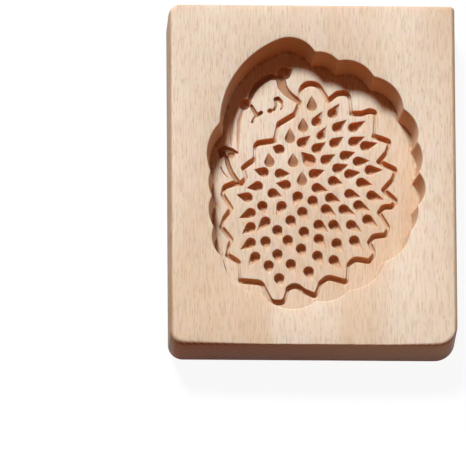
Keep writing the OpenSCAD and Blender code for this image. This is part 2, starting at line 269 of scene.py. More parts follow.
def roundedPath(corners, steps=5):
    # a closed path with its corners rounded
    points = []
    for i, (x, y, radius) in enumerate(corners):
        here = np.array([x, y], float)
        back = np.array(corners[i - 1][:2]) - here
        on = np.array(corners[(i + 1) % len(corners)][:2]) - here
        back, on = back / np.linalg.norm(back), on / np.linalg.norm(on)
        if radius == 0:
            points.append(here)
            continue
        half = math.acos(np.clip(back @ on, -1, 1)) / 2
        middle = here + (back + on) / np.linalg.norm(back + on) * radius / math.sin(half)
        first = here + back * radius / math.tan(half) - middle
        last = here + on * radius / math.tan(half) - middle
        a0, a1 = math.atan2(first[1], first[0]), math.atan2(last[1], last[0])
        turn = (a1 - a0 + math.pi) % (2 * math.pi) - math.pi
        points += [onCircle(middle, radius, a0 + turn * k / steps) for k in range(steps + 1)]
    return points


def resampled(path, widths, step, closed):
    # a path and its widths, with points about one step apart
    points, sizes = [], []
    count = len(path)
    for i in range(count if closed else count - 1):
        a, b = np.array(path[i]), np.array(path[(i + 1) % count])
        wa, wb = widths[i], widths[(i + 1) % count]
        parts = max(1, round(np.linalg.norm(b - a) / step))
        for k in range(parts):
            points.append(a + (b - a) * k / parts)
            sizes.append(wa + (wb - wa) * k / parts)
    if not closed:
        points.append(np.array(path[-1]))
        sizes.append(widths[-1])
    return np.array(points), np.array(sizes)


def sideRail(points, halfWidths, share, side, closed):
    # a line beside a path: mitred on the inside of its bends, round on the outside
    sharpTurn, roundStep, shortestMitre = 0.35, 0.45, 0.35
    rail = []
    count = len(points)
    for i in range(count):
        before = points[i] - points[i - 1] if closed or i > 0 else points[1] - points[0]
        ahead = points[(i + 1) % count] - points[i] if closed or i < count - 1 else before
        before, ahead = before / np.linalg.norm(before), ahead / np.linalg.norm(ahead)
        out0 = np.array([before[1], -before[0]]) * side
        out1 = np.array([ahead[1], -ahead[0]]) * side
        reach = halfWidths[i] * share
        turn = before[0] * ahead[1] - before[1] * ahead[0]
        if turn * side > sharpTurn:
            steps = max(2, round(math.acos(np.clip(out0 @ out1, -1, 1)) / roundStep))
            for k in range(steps + 1):
                out = out0 * (1 - k / steps) + out1 * k / steps
                rail.append(points[i] + out / np.linalg.norm(out) * reach)
        else:
            mean = out0 + out1
            mean = mean / np.linalg.norm(mean)
            rail.append(points[i] + mean * reach / max(shortestMitre, mean @ out0))
    return np.array(rail)


def pitOutline(radius, length, count):
    # round head and straight sides to a point, as distances from the head's middle by angle
    tilt = math.acos(min(1.0, radius / length))
    reach = []
    for k in range(count):
        angle = abs((2 * math.pi * k / count + math.pi) % (2 * math.pi) - math.pi)
        reach.append(radius if angle > tilt else radius / math.cos(tilt - angle))
    angles = np.arange(count) * 2 * math.pi / count
    return np.stack([np.cos(angles), np.sin(angles)], 1) * np.array(reach)[:, None]


def coatLine(cut):
    # the groove round the coat, wide where it runs across the block and narrow where it runs along
    corners = roundedPath(cut["coat"])
    line, _ = resampled(corners, [1] * len(corners), cut["railStep"], True)
    way = np.roll(line, -1, axis=0) - np.roll(line, 1, axis=0)
    across = np.abs(way[:, 0]) / np.linalg.norm(way, axis=1)
    for _ in range(3):
        across = (np.roll(across, 1) + across * 2 + np.roll(across, -1)) / 4
    narrow, wide = cut["coatWidths"]
    return line, narrow + (wide - narrow) * across ** 0.6


def steepBowl(inside, halfWidth, soft, power):
    # depth from 0 to 1 by the distance in from the brink, steep at first and then round
    share = np.clip(inside / halfWidth, 0, 1)
    bowl = (1 - (1 - share) ** power) ** (1 / power)
    softPower = 1.6
    return bowl * (1 - np.exp(-(np.clip(inside, 0, None) / soft) ** softPower))


def paintedShadeAt(depth, cut, level):
    full, most = cut["paintedShadeFull"][level], cut["paintedShadeLevels"][level]
    return most * np.clip((depth - cut["paintedShadeFrom"]) / (full - cut["paintedShadeFrom"]), 0, 1)


def carvedDepth(places, cut):
    # how far the carving goes below the floor at each place, and how much painted shade the wood gets
    # there
    places = np.asarray(places, float)
    deepest, paintedShade = np.zeros(len(places)), np.zeros(len(places))
    soft = cut["softBrink"]
    for pit in cut["quills"] + cut["dents"]:
        x, y, way, length = pit[:4]
        radius = pit[4] if len(pit) > 4 else cut["quillRadius"]
        near = np.hypot(places[:, 0] - x, places[:, 1] - y) < length + 1
        if not near.any():
            continue
        turn = math.radians(way)
        dx, dy = places[near, 0] - x, places[near, 1] - y
        u = dx * math.cos(turn) + dy * math.sin(turn)
        v = -dx * math.sin(turn) + dy * math.cos(turn)
        full = radius + soft / 2
        lean = math.asin(min(1.0, radius / length))
        wide = np.clip((length - u) * math.tan(lean), 1e-4, None) + soft / 2 / math.cos(lean)
        isScoop = abs(way - 90) < cut["scoopWay"]
        sideways = abs(math.cos(turn))
        if isScoop:
            power = cut["scoopPower"]
            bed = radius * cut["scoopDepth"] * np.clip((length - u) / (length + radius / 2), 0, 1)
            headBed = bed
        else:
            power = cut["pitPower"]
            shallow, deep = cut["tailDepths"]
            fall = 1 - (np.clip(u, 0, length) / length) ** (1 + sideways)
            bed = radius * (shallow + (deep - shallow) * sideways ** 1.5) * fall
            headBed = min(radius * cut["quillDepth"], cut["pitDepth"])
        head = steepBowl(full - np.hypot(u, v), full, soft, power) * headBed
        inTail = (u > radius * math.sin(lean)) & (u < length + soft)
        tail = np.where(inTail, steepBowl(wide - np.abs(v), wide, soft, power) * bed, 0)
        deepest[near] = np.maximum(deepest[near], np.maximum(head, tail))
        # painted shade in a tail grows as it turns across the grain and the light; a tail that runs
        # along the grain, and so along the light, gets none
        shadeHere = np.maximum(paintedShadeAt(head, cut, int(isScoop)),
                           paintedShadeAt(tail, cut, int(isScoop)) * (1 if isScoop else sideways))
        paintedShade[near] = np.maximum(paintedShade[near], shadeHere)
    coat, coatSizes = coatLine(cut)
    lines = [(coat, coatSizes, cut["coatDepth"], True, True)]
    for strokes, depths, steep in ((cut["strokes"], cut["strokeDepth"], True),
                                   (cut["folds"], cut["foldDepth"], False)):
        lines += [([np.array(p[:2]) for p in s], [p[2] for p in s], depths, False, steep)
                  for s in strokes]
    for path, widths, (ratio, most), isClosed, steep in lines:
        count = len(path)
        for i in range(count if isClosed else count - 1):
            a, b = path[i], path[(i + 1) % count]
            wa, wb = widths[i], widths[(i + 1) % count]
            reachOut = max(wa, wb) / 2 + soft
            low, high = np.minimum(a, b) - reachOut, np.maximum(a, b) + reachOut
            near = ((places >= low) & (places <= high)).all(1)
            if not near.any():
                continue
            way = b - a
            t = np.clip((places[near] - a) @ way / (way @ way), 0, 1)
            off = np.linalg.norm(places[near] - a - t[:, None] * way, axis=1)
            w = wa + (wb - wa) * t
            if steep:
                half = w / 2 + soft / 2
                bowl = steepBowl(half - off, half, soft, cut["groovePower"])
            else:
                bowl = np.clip(1 - (off / (w / 2)) ** 2, 0, 1) ** 2
            depth = bowl * np.minimum(w * ratio, most)
            deepest[near] = np.maximum(deepest[near], depth)
            # painted shade in the coat's groove follows its width, and in the strokes their depth
            shadeHere = paintedShadeAt(depth, cut, int(not isClosed))
            if isClosed:
                shadeHere = shadeHere * np.clip(w / cut["coatWidths"][1], 0, 1) ** 1.5
            paintedShade[near] = np.maximum(paintedShade[near], shadeHere)
    return deepest, paintedShade


def isInside(places, outline):
    # whether places lie inside a closed outline
    inside = np.zeros(len(places), bool)
    x, y = places[:, 0], places[:, 1]
    for (ax, ay), (bx, by) in zip(outline, np.roll(outline, -1, axis=0)):
        if ay != by:
            hit = ((ay > y) != (by > y)) & (x < (bx - ax) * (y - ay) / (by - ay) + ax)
            inside ^= hit
    return inside


def makeBlank(shape):
    # a cube at the block's size, its upright corners bevelled one by one, then every arris
    width, length, thick = [v * mm for v in shape["size"]]
    bpy.ops.mesh.primitive_cube_add(size=1, location=(0, 0, 0))
    blank = bpy.context.active_object
    blank.name = "mouldBlock"
    editMode()
    bpy.ops.transform.resize(value=(width, length, thick), center_override=(0, 0, 0))
    bpy.ops.transform.translate(value=(0, 0, thick / 2))
    for sideX, sideY, radius in shape["corners"]:
        def isCorner(a, b):
            return all(p.x * sideX > (width - mm) / 2 and p.y * sideY > (length - mm) / 2
                       for p in (a, b))

        selectEdges(blank, isCorner)
        bpy.ops.mesh.bevel(offset=radius * mm, segments=shape["cornerSteps"], affect="EDGES",
                           clamp_overlap=False)
    tiny = mm / 100
    selectEdges(blank, lambda a, b: abs(a.z - b.z) < tiny and (a.z < tiny or a.z > thick - tiny))
    bpy.ops.mesh.bevel(offset=shape["arris"] * mm, segments=shape["arrisSteps"], affect="EDGES",
                       clamp_overlap=False)
    for x in shape["cuts"]:
        bpy.ops.mesh.select_all(action="SELECT")
        bpy.ops.mesh.bisect(plane_co=(x * mm, 0, 0), plane_no=(1, 0, 0))
    editMode(False)
    wearArris(blank, shape)
    return blank


def wearArris(blank, shape):
    # sanding by hand has taken more off the top arris at the left and towards the front corners
    width, length, thick = shape["size"]
    radii = {(c[0], c[1]): c[2] for c in shape["corners"]}
    for vertex in blank.data.vertices:
        x, y, z = [c / mm for c in vertex.co]
        if z < thick - shape["arris"] - 0.01:
            continue
        sideX, sideY = (-1 if x < 0 else 1), (-1 if y < 0 else 1)
        radius = radii[(sideX, sideY)]
        # from the corner's middle, or from the straight side beside it
        out = np.array([max(x * sideX - width / 2 + radius, 0) * sideX,
                        max(y * sideY - length / 2 + radius, 0) * sideY])
        away = np.linalg.norm(out)
        inset = radius - away
        if away < 1e-6 or inset > shape["arris"] + 0.01:
            continue
        out = out / away
        start, full, gain = shape["wornLeft"] if x < 0 else shape["wornRight"]
        share = float(np.clip((x - start) / (full - start), 0, 1))
        more = gain * share ** 1.4 * max(-out[1], 0) ** 0.7 + shape["wornSide"] * max(-out[0], 0)
        x, y = x - out[0] * inset * more, y - out[1] * inset * more
        vertex.co = (x * mm, y * mm, (thick - (thick - z) * (1 + more)) * mm)


def makeWall(shape, cut):
    # a ring at the wall's foot, drawn up ring by ring to the rounded brink at the top face
    thick, depth, lean, brink = shape["size"][2], shape["depth"], shape["lean"], shape["brink"]
    levels = [(lean * (1 - up / depth), up) for up in shape["wallRings"]]
    for k in range(shape["brinkSteps"] + 1):
        angle = math.pi / 2 * k / shape["brinkSteps"]
        up = depth - brink + brink * math.sin(angle)
        levels.append((lean * (depth - up) / depth - brink * (1 - math.cos(angle)), up))
    foot = hollowOutline(shape, lean)
    bpy.ops.mesh.primitive_circle_add(vertices=len(foot), radius=1 * mm)
    wall = bpy.context.active_object
    editMode()
    shell = bmesh.from_edit_mesh(wall.data)
    spot = shell.verts.layers.int.new("spot")
    shell.verts.ensure_lookup_table()
    for vertex in shell.verts:
        vertex[spot] = vertex.index
    for level, (inward, up) in enumerate(levels):
        ring = hollowOutline(shape, inward)
        dips = carvedDepth(ring, cut)[0] if level == 0 else np.zeros(len(ring))
        if level > 0:
            bpy.ops.mesh.extrude_region_move()
        shell = bmesh.from_edit_mesh(wall.data)
        spot = shell.verts.layers.int["spot"]
        for vertex in shell.verts:
            if vertex.select:
                x, y = ring[vertex[spot]]
                vertex.co = (x * mm, y * mm, (thick - depth + up - dips[vertex[spot]]) * mm)
        bmesh.update_edit_mesh(wall.data)
    editMode(False)
    # painted shade on the wall, more towards the back where it lies in shade
    least, most, front, back = cut["wallPaintedShade"]
    paintedShade = wall.data.attributes.new("paintedShade", "FLOAT", "POINT")
    for vertex in wall.data.vertices:
        if vertex.co.z < (thick - brink / 2) * mm:
            share = np.clip((vertex.co.y / mm - front) / (back - front), 0, 1)
            paintedShade.data[vertex.index].value = float(least + (most - least) * share)
    return wall


def makeFloorSheet(shape, cut):
    # The figure can't be cut cleanly by adding and bevelling, so its sheet is drawn as a map:
    # the wall's foot, rings in every pit and rails along every groove, joined by triangles.
    foot = hollowOutline(shape, shape["lean"])
    points, edges = [list(foot)], [[(i, (i + 1) % len(foot)) for i in range(len(foot))]]
    total = len(foot)

    def addLine(line, closed):
        nonlocal total
        keep = isInside(line, foot) & (np.min(np.linalg.norm(
            line[:, None, :] - foot[None, :, :], axis=2), axis=1) > cut["footGap"])
        numbers = -np.ones(len(line), int)
        numbers[keep] = total + np.arange(keep.sum())
        pairs = [(i, (i + 1) % len(line)) for i in range(len(line) if closed else len(line) - 1)]
        points.append(list(line[keep]))
        edges.append([(int(numbers[a]), int(numbers[b])) for a, b in pairs
                      if numbers[a] >= 0 and numbers[b] >= 0])
        total += int(keep.sum())

    for pit in cut["quills"] + cut["dents"]:
        x, y, way, length = pit[:4]
        radius = pit[4] if len(pit) > 4 else cut["quillRadius"]
        turn = math.radians(way)
        spin = np.array([[math.cos(turn), math.sin(turn)], [-math.sin(turn), math.cos(turn)]])
        outline = pitOutline(radius, length, cut["ringPoints"])
        for scale in cut["ringScales"]:
            addLine(outline * scale @ spin + np.array([x, y]), True)
        addLine(np.array([[x, y]]), False)
    tracks = [(*coatLine(cut), True)]
    tracks += [(*resampled([p[:2] for p in s], [p[2] for p in s], cut["railStep"], False), False)
               for s in cut["strokes"] + cut["folds"]]
    for line, sizes, closed in tracks:
        addLine(line, closed)
        for share in cut["railShares"]:
            for side in (-1, 1):
                addLine(sideRail(line, sizes / 2, share, side, closed), closed)
        if not closed:
            for end, size, way in ((line[0], sizes[0], line[0] - line[1]),
                                   (line[-1], sizes[-1], line[-1] - line[-2])):
                lean = math.atan2(way[1], way[0])
                for share in cut["railShares"]:
                    cap = [onCircle(end, size / 2 * share, lean + a)
                           for a in np.linspace(-math.pi / 2, math.pi / 2, cut["capPoints"])]
                    addLine(np.array(cap), False)
    step = cut["gridStep"]
    (left, right), (front, back) = cut["gridReach"]
    grid = np.array([(x + (row % 2) * step / 2, y)
                     for row, y in enumerate(np.arange(front, back, step * cut["gridRow"]))
                     for x in np.arange(left, right, step)])
    taken = np.array([p for group in points for p in group])
    clear = np.ones(len(grid), bool)
    batch = 500
    for start in range(0, len(grid), batch):
        part = grid[start:start + batch]
        gaps = np.min(np.linalg.norm(part[:, None, :] - taken[None, :, :], axis=2), axis=1)
        clear[start:start + batch] = gaps > step * cut["gridGap"]
    addLine(grid[clear], False)
    edges.pop()    # the grid's points stay loose

    flat = [Vector((float(p[0]), float(p[1]))) for group in points for p in group]
    joins = [pair for group in edges for pair in group]
    spots, _, faces, _, _, _ = delaunay_2d_cdt(flat, joins, [], 1, cut["mergeGap"], False)
    places = np.array([tuple(s) for s in spots])
    middles = np.array([places[list(face)].mean(0) for face in faces])
    faces = [face for face, inside in zip(faces, isInside(middles, foot)) if inside]
    dips, shadeHere = carvedDepth(places, cut)
    base = shape["size"][2] - shape["depth"]
    mesh = bpy.data.meshes.new("carvedFloor")
    heights = base - dips
    mesh.from_pydata([(x * mm, y * mm, z * mm) for (x, y), z in zip(places, heights)], [], faces)
    # painted shade in the pits and grooves, which the material reads
    paintedShade = mesh.attributes.new("paintedShade", "FLOAT", "POINT")
    paintedShade.data.foreach_set("value", [float(share) for share in shadeHere])
    sheet = bpy.data.objects.new("carvedFloor", mesh)
    bpy.context.collection.objects.link(sheet)
    return sheet


def makeMouldBlock(shape, cut):
    shape["counts"] = arcCounts(shape)
    justUnderTop = (shape["size"][2] - 0.01) * mm
    blank = makeBlank(shape)
    print("blank made")
    wall = makeWall(shape, cut)
    print("wall made")
    sheet = makeFloorSheet(shape, cut)
    print("carved floor made", len(sheet.data.polygons))
    # the top face is opened, the hollow is put in and the face is filled again round its brink
    bpy.ops.object.select_all(action="DESELECT")
    bpy.context.view_layer.objects.active = blank
    blank.select_set(True)
    editMode()
    bpy.ops.mesh.select_mode(type="FACE")
    bpy.ops.mesh.select_all(action="DESELECT")
    solid = bmesh.from_edit_mesh(blank.data)
    for face in solid.faces:
        face.select = face.normal.z > 0.999 and face.calc_center_median().z > justUnderTop
    bmesh.update_edit_mesh(blank.data)
    bpy.ops.mesh.delete(type="FACE")
    editMode(False)
    wall.select_set(True)
    sheet.select_set(True)
    bpy.ops.object.join()
    editMode()
    bpy.ops.mesh.select_mode(type="VERT")
    bpy.ops.mesh.select_all(action="SELECT")
    bpy.ops.mesh.remove_doubles(threshold=0.002 * mm)
    bpy.ops.mesh.select_mode(type="EDGE")
    bpy.ops.mesh.select_all(action="DESELECT")
    solid = bmesh.from_edit_mesh(blank.data)
    for edge in solid.edges:
        edge.select = edge.is_boundary and min(v.co.z for v in edge.verts) > justUnderTop
    bmesh.update_edit_mesh(blank.data)
    bpy.ops.mesh.fill(use_beauty=True)
    bpy.ops.mesh.select_all(action="SELECT")
    bpy.ops.mesh.normals_make_consistent(inside=False)
    editMode(False)
    bpy.ops.object.shade_smooth_by_angle(angle=math.radians(shape["smoothAngle"]))
    check = bmesh.new()
    check.from_mesh(blank.data)
    gaps = sum(1 for edge in check.edges if not edge.is_manifold)
    check.free()
    print("mould block made:", len(blank.data.polygons), "faces,", gaps, "open edges")
    return blank


# Beech

# Beech heartwood, planed, carved across and along the grain, then sanded and left bare. The long
# grain is pale and even with short darker ray flecks, and cut end grain soaks up light and
# looks red-brown with close rings; in the carving, part of that red-brown is painted shade.
beechLook = {
    # long grain, and how strongly the flecks, the pore lines and the rings show in it
    "pale": "#EAD8C5", "warm": "#E1C6AB", "fleck": "#BC9469",
    "fleckShare": 0.55, "poreShare": 0.42, "ringShare": 0.035,
    # sizes in millimetres: across and along the grain, and for the streaks through the board too
    "fleckSize": (0.3, 1.9), "poreSize": (0.5, 6.25),    # pore lines as coarse as they need to show
    "streakSize": (22.2, 250, 16.7),
    "ringPitch": 1.5, "ringWander": 7.0, "wanderSize": (45.5, 250),    # growth rings, strays of them
    "pith": (3.0, 74.0),       # the board is cut from beside the heart: x and z of the pith
    # shares at which a pattern starts and is full
    "lateWood": (0.35, 0.86), "ringEnd": (0.9, 1.0), "fleckEdge": (0.14, 0.32),
    "fleckStrength": (0.1, 1.0), "poreStart": (0.42, 0.75), "streakStart": (0.38, 0.66),
    "acrossGrain": (0.2, 0.85),
    # sawn ends, with painted shade on the front one, most at the left: y, x and the share left at the
    # right
    "endGrain": "#CDA47C", "frontEndShade": "#AD673F", "ringLine": "#5C321A", "endFace": (57.0, 59.5),
    "endRingShares": (0.35, 0.75), "frontShadeAlong": (-58.0, -50.0), "frontShadeAcross": (-46.0, 40.0),
    "frontShadeRight": 0.5,
    # wall of the hollow: its cut end grain in orange, which paints the warm shade at the back, then
    # painted light and shade towards the front, paler then darker, by y
    "cutGrainInShade": "#E8A46E", "cutLine": "#8A4820", "cutRingShare": 0.6, "wallTint": 0.9,
    "litFrontWall": "#CFA885", "litFrontWallAlong": (-22.0, 2.0),
    "shadedFootWall": "#8A6448", "shadedFootWallAlong": (-41.0, -31.0), "brinkHeight": (18.5, 18.75),
    # painted shade on the floor of the hollow, by z and y, and on the long sides, by x
    "floorShadeColour": "#F3EEE9", "floorHeight": (7.2, 8.0), "floorShadeAlong": (-20.0, 14.0),
    "side": "#BAA895", "sideStart": (47.2, 48.0), "sideShadeShare": 0.85,
    # painted shade in the pits, grooves and wall: its colour and share, and a browner one for shallow
    # pits and strokes
    "paintedShadeColour": "#C98C60", "paintedShadeShare": 0.66, "shallowShadeColour": "#B88A68",
    # bare wood lets light in: the share, how far in mm, and how far for red, green and blue
    "inside": 0.65, "insideReach": 2.6, "insideColours": (1.0, 0.5, 0.25),
    "roughness": (0.51, 0.63), "shine": 0.12,
    "relief": 0.05, "reliefStrength": 0.35, "ringRelief": 0.4,    # grain raised by sanding, mm
}

# options shared by many nodes; a colour mix has sockets 0, 6 and 7 in and 2 out
smoothStep = {"interpolation_type": "SMOOTHSTEP"}
colourMix = {"data_type": "RGBA"}


def growthRings(tree, look, spot):
    # dark late wood of each year, in circles round the pith that slow noise pushes about
    across, along = look["wanderSize"]
    slow = addNode(tree, "ShaderNodeMapping", {"Scale": (1 / across, 1 / along, 1 / across)},
                   {"Vector": spot})
    wander = addNode(tree, "ShaderNodeTexNoise", {"Scale": 1.0, "Detail": 1.0},
                     {"Vector": slow.outputs[0]})
    pithX, pithZ = look["pith"]
    fromPith = addNode(tree, "ShaderNodeVectorMath",
                       {"operation": "MULTIPLY_ADD", 1: (1, 0, 1), 2: (-pithX, 0, -pithZ)},
                       {0: spot})
    reach = addNode(tree, "ShaderNodeVectorMath", {"operation": "LENGTH"},
                    {0: fromPith.outputs[0]})
    reach = addNode(tree, "ShaderNodeMath", {"operation": "MULTIPLY_ADD", 1: look["ringWander"]},
                    {0: wander.outputs["Fac"], 2: reach.outputs["Value"]})
    rings = addNode(tree, "ShaderNodeMath", {"operation": "DIVIDE", 1: look["ringPitch"]},
                    {0: reach.outputs[0]})
    year = addNode(tree, "ShaderNodeMath", {"operation": "FRACT"}, {0: rings.outputs[0]})
    summer = addNode(tree, "ShaderNodeMapRange",
                     {**smoothStep, "From Min": look["lateWood"][0], "From Max": look["lateWood"][1]},
                     {"Value": year.outputs[0]})
    winter = addNode(tree, "ShaderNodeMapRange",
                     {**smoothStep, "From Min": look["ringEnd"][0], "From Max": look["ringEnd"][1],
                      "To Min": 1.0, "To Max": 0.0}, {"Value": year.outputs[0]})
    return addNode(tree, "ShaderNodeMath", {"operation": "MULTIPLY"},
                   {0: summer.outputs[0], 1: winter.outputs[0]}).outputs[0]


def rayFlecks(tree, look, spot):
    # long cells, each with a fleck of its own strength in the middle
    across, along = [0.5 / size for size in look["fleckSize"]]
    cellPlace = addNode(tree, "ShaderNodeMapping", {"Scale": (across, along, across)},
                        {"Vector": spot})
    cells = addNode(tree, "ShaderNodeTexVoronoi", {"Scale": 1.0}, {"Vector": cellPlace.outputs[0]})
    ownShade = addNode(tree, "ShaderNodeSeparateColor", None, {0: cells.outputs["Color"]})
    body = addNode(tree, "ShaderNodeMapRange",
                   {**smoothStep, "From Min": look["fleckEdge"][0], "From Max": look["fleckEdge"][1],
                    "To Min": look["fleckShare"], "To Max": 0.0},
                   {"Value": cells.outputs["Distance"]})
    strength = addNode(tree, "ShaderNodeMapRange",
                       {**smoothStep, "From Min": look["fleckStrength"][0],
                        "From Max": look["fleckStrength"][1]}, {"Value": ownShade.outputs[0]})
    return addNode(tree, "ShaderNodeMath", {"operation": "MULTIPLY"},
                   {0: body.outputs[0], 1: strength.outputs[0]}).outputs[0]


def poreLines(tree, look, spot):
    across, along = [1 / size for size in look["poreSize"]]
    porePlace = addNode(tree, "ShaderNodeMapping", {"Scale": (across, along, across)},
                        {"Vector": spot})
    return addNode(tree, "ShaderNodeTexNoise", {"Scale": 1.0, "Detail": 2.0, "Roughness": 0.6},
                   {"Vector": porePlace.outputs[0]}).outputs["Fac"]


def planedGrain(tree, look, spot, xyz, rings, flecks, pores):
    # broad streaks that run the length of the board, with pores, rings and flecks over them
    streakPlace = addNode(tree, "ShaderNodeMapping",
                          {"Scale": [1 / size for size in look["streakSize"]]}, {"Vector": spot})
    streaks = addNode(tree, "ShaderNodeTexNoise", {"Scale": 1.0, "Detail": 3.0},
                      {"Vector": streakPlace.outputs[0]})
    streakShare = addNode(tree, "ShaderNodeMapRange",
                          {**smoothStep, "From Min": look["streakStart"][0],
                           "From Max": look["streakStart"][1]}, {"Value": streaks.outputs["Fac"]})
    poreShare = addNode(tree, "ShaderNodeMapRange",
                        {**smoothStep, "From Min": look["poreStart"][0],
                         "From Max": look["poreStart"][1], "To Max": look["poreShare"]},
                        {"Value": pores})
    ringShare = addNode(tree, "ShaderNodeMath", {"operation": "MULTIPLY", 1: look["ringShare"]},
                        {0: rings})
    grain = addNode(tree, "ShaderNodeMix",
                    {**colourMix, 6: hexColour(look["pale"]), 7: hexColour(look["warm"])},
                    {0: streakShare.outputs[0]})
    for share in (poreShare.outputs[0], ringShare.outputs[0], flecks):
        grain = addNode(tree, "ShaderNodeMix", {**colourMix, 7: hexColour(look["fleck"])},
                        {0: share, 6: grain.outputs[2]})
    # painted shade: the floor of the hollow is a little darker towards the front, against the light
    # that the front wall throws on it
    low = addNode(tree, "ShaderNodeMapRange",
                  {**smoothStep, "From Min": look["floorHeight"][0],
                   "From Max": look["floorHeight"][1], "To Min": 1.0, "To Max": 0.0},
                  {"Value": xyz.outputs["Z"]})
    near = addNode(tree, "ShaderNodeMapRange",
                   {**smoothStep, "From Min": look["floorShadeAlong"][0],
                    "From Max": look["floorShadeAlong"][1], "To Min": 1.0, "To Max": 0.0},
                   {"Value": xyz.outputs["Y"]})
    floorShadeShare = addNode(tree, "ShaderNodeMath", {"operation": "MULTIPLY"},
                     {0: low.outputs[0], 1: near.outputs[0]})
    return addNode(tree, "ShaderNodeMix",
                   {**colourMix, "blend_type": "MULTIPLY", 7: hexColour(look["floorShadeColour"])},
                   {0: floorShadeShare.outputs[0], 6: grain.outputs[2]}).outputs[2]


def sawnEnds(tree, look, xyz, rings):
    # the two ends of the block, with painted shade on the front one, most to the left
    shadeAcrossFront = addNode(tree, "ShaderNodeMapRange",
                         {**smoothStep, "From Min": look["frontShadeAcross"][0],
                          "From Max": look["frontShadeAcross"][1], "To Min": 1.0,
                          "To Max": look["frontShadeRight"]}, {"Value": xyz.outputs["X"]})
    shadeAlongFront = addNode(tree, "ShaderNodeMapRange",
                         {**smoothStep, "From Min": look["frontShadeAlong"][0],
                          "From Max": look["frontShadeAlong"][1], "To Min": 1.0, "To Max": 0.0},
                         {"Value": xyz.outputs["Y"]})
    frontShade = addNode(tree, "ShaderNodeMath", {"operation": "MULTIPLY"},
                    {0: shadeAcrossFront.outputs[0], 1: shadeAlongFront.outputs[0]})
    ringStrength = addNode(tree, "ShaderNodeMapRange",
                           {"To Min": look["endRingShares"][0], "To Max": look["endRingShares"][1]},
                           {"Value": frontShade.outputs[0]})
    ringShare = addNode(tree, "ShaderNodeMath", {"operation": "MULTIPLY"},
                        {0: rings, 1: ringStrength.outputs[0]})
    sawn = addNode(tree, "ShaderNodeMix",
                   {**colourMix, 6: hexColour(look["endGrain"]), 7: hexColour(look["frontEndShade"])},
                   {0: frontShade.outputs[0]})
    return addNode(tree, "ShaderNodeMix", {**colourMix, 7: hexColour(look["ringLine"])},
                   {0: ringShare.outputs[0], 6: sawn.outputs[2]}).outputs[2]


def cutWalls(tree, look, xyz, rings, planed):
    # end grain in the wall of the hollow, with painted light and shade: orange at the back where it
    # lies in shade, paler towards the front where it is lit, and painted shade at the very front
    ringShare = addNode(tree, "ShaderNodeMath", {"operation": "MULTIPLY", 1: look["cutRingShare"]},
                        {0: rings})
    wall = addNode(tree, "ShaderNodeMix",
                   {**colourMix, 6: hexColour(look["cutGrainInShade"]), 7: hexColour(look["cutLine"])},
                   {0: ringShare.outputs[0]})
    for colour, along in (("litFrontWall", "litFrontWallAlong"), ("shadedFootWall", "shadedFootWallAlong")):
        share = addNode(tree, "ShaderNodeMapRange",
                        {**smoothStep, "From Min": look[along][0], "From Max": look[along][1],
                         "To Min": look["wallTint"], "To Max": 0.0}, {"Value": xyz.outputs["Y"]})
        wall = addNode(tree, "ShaderNodeMix", {**colourMix, 7: hexColour(look[colour])},
                       {0: share.outputs[0], 6: wall.outputs[2]})
    # the sanded brink keeps the colour of the top face
    brink = addNode(tree, "ShaderNodeMapRange",
                    {**smoothStep, "From Min": look["brinkHeight"][0],
                     "From Max": look["brinkHeight"][1]}, {"Value": xyz.outputs["Z"]})
    return addNode(tree, "ShaderNodeMix", colourMix,
                   {0: brink.outputs[0], 6: wall.outputs[2], 7: planed}).outputs[2]


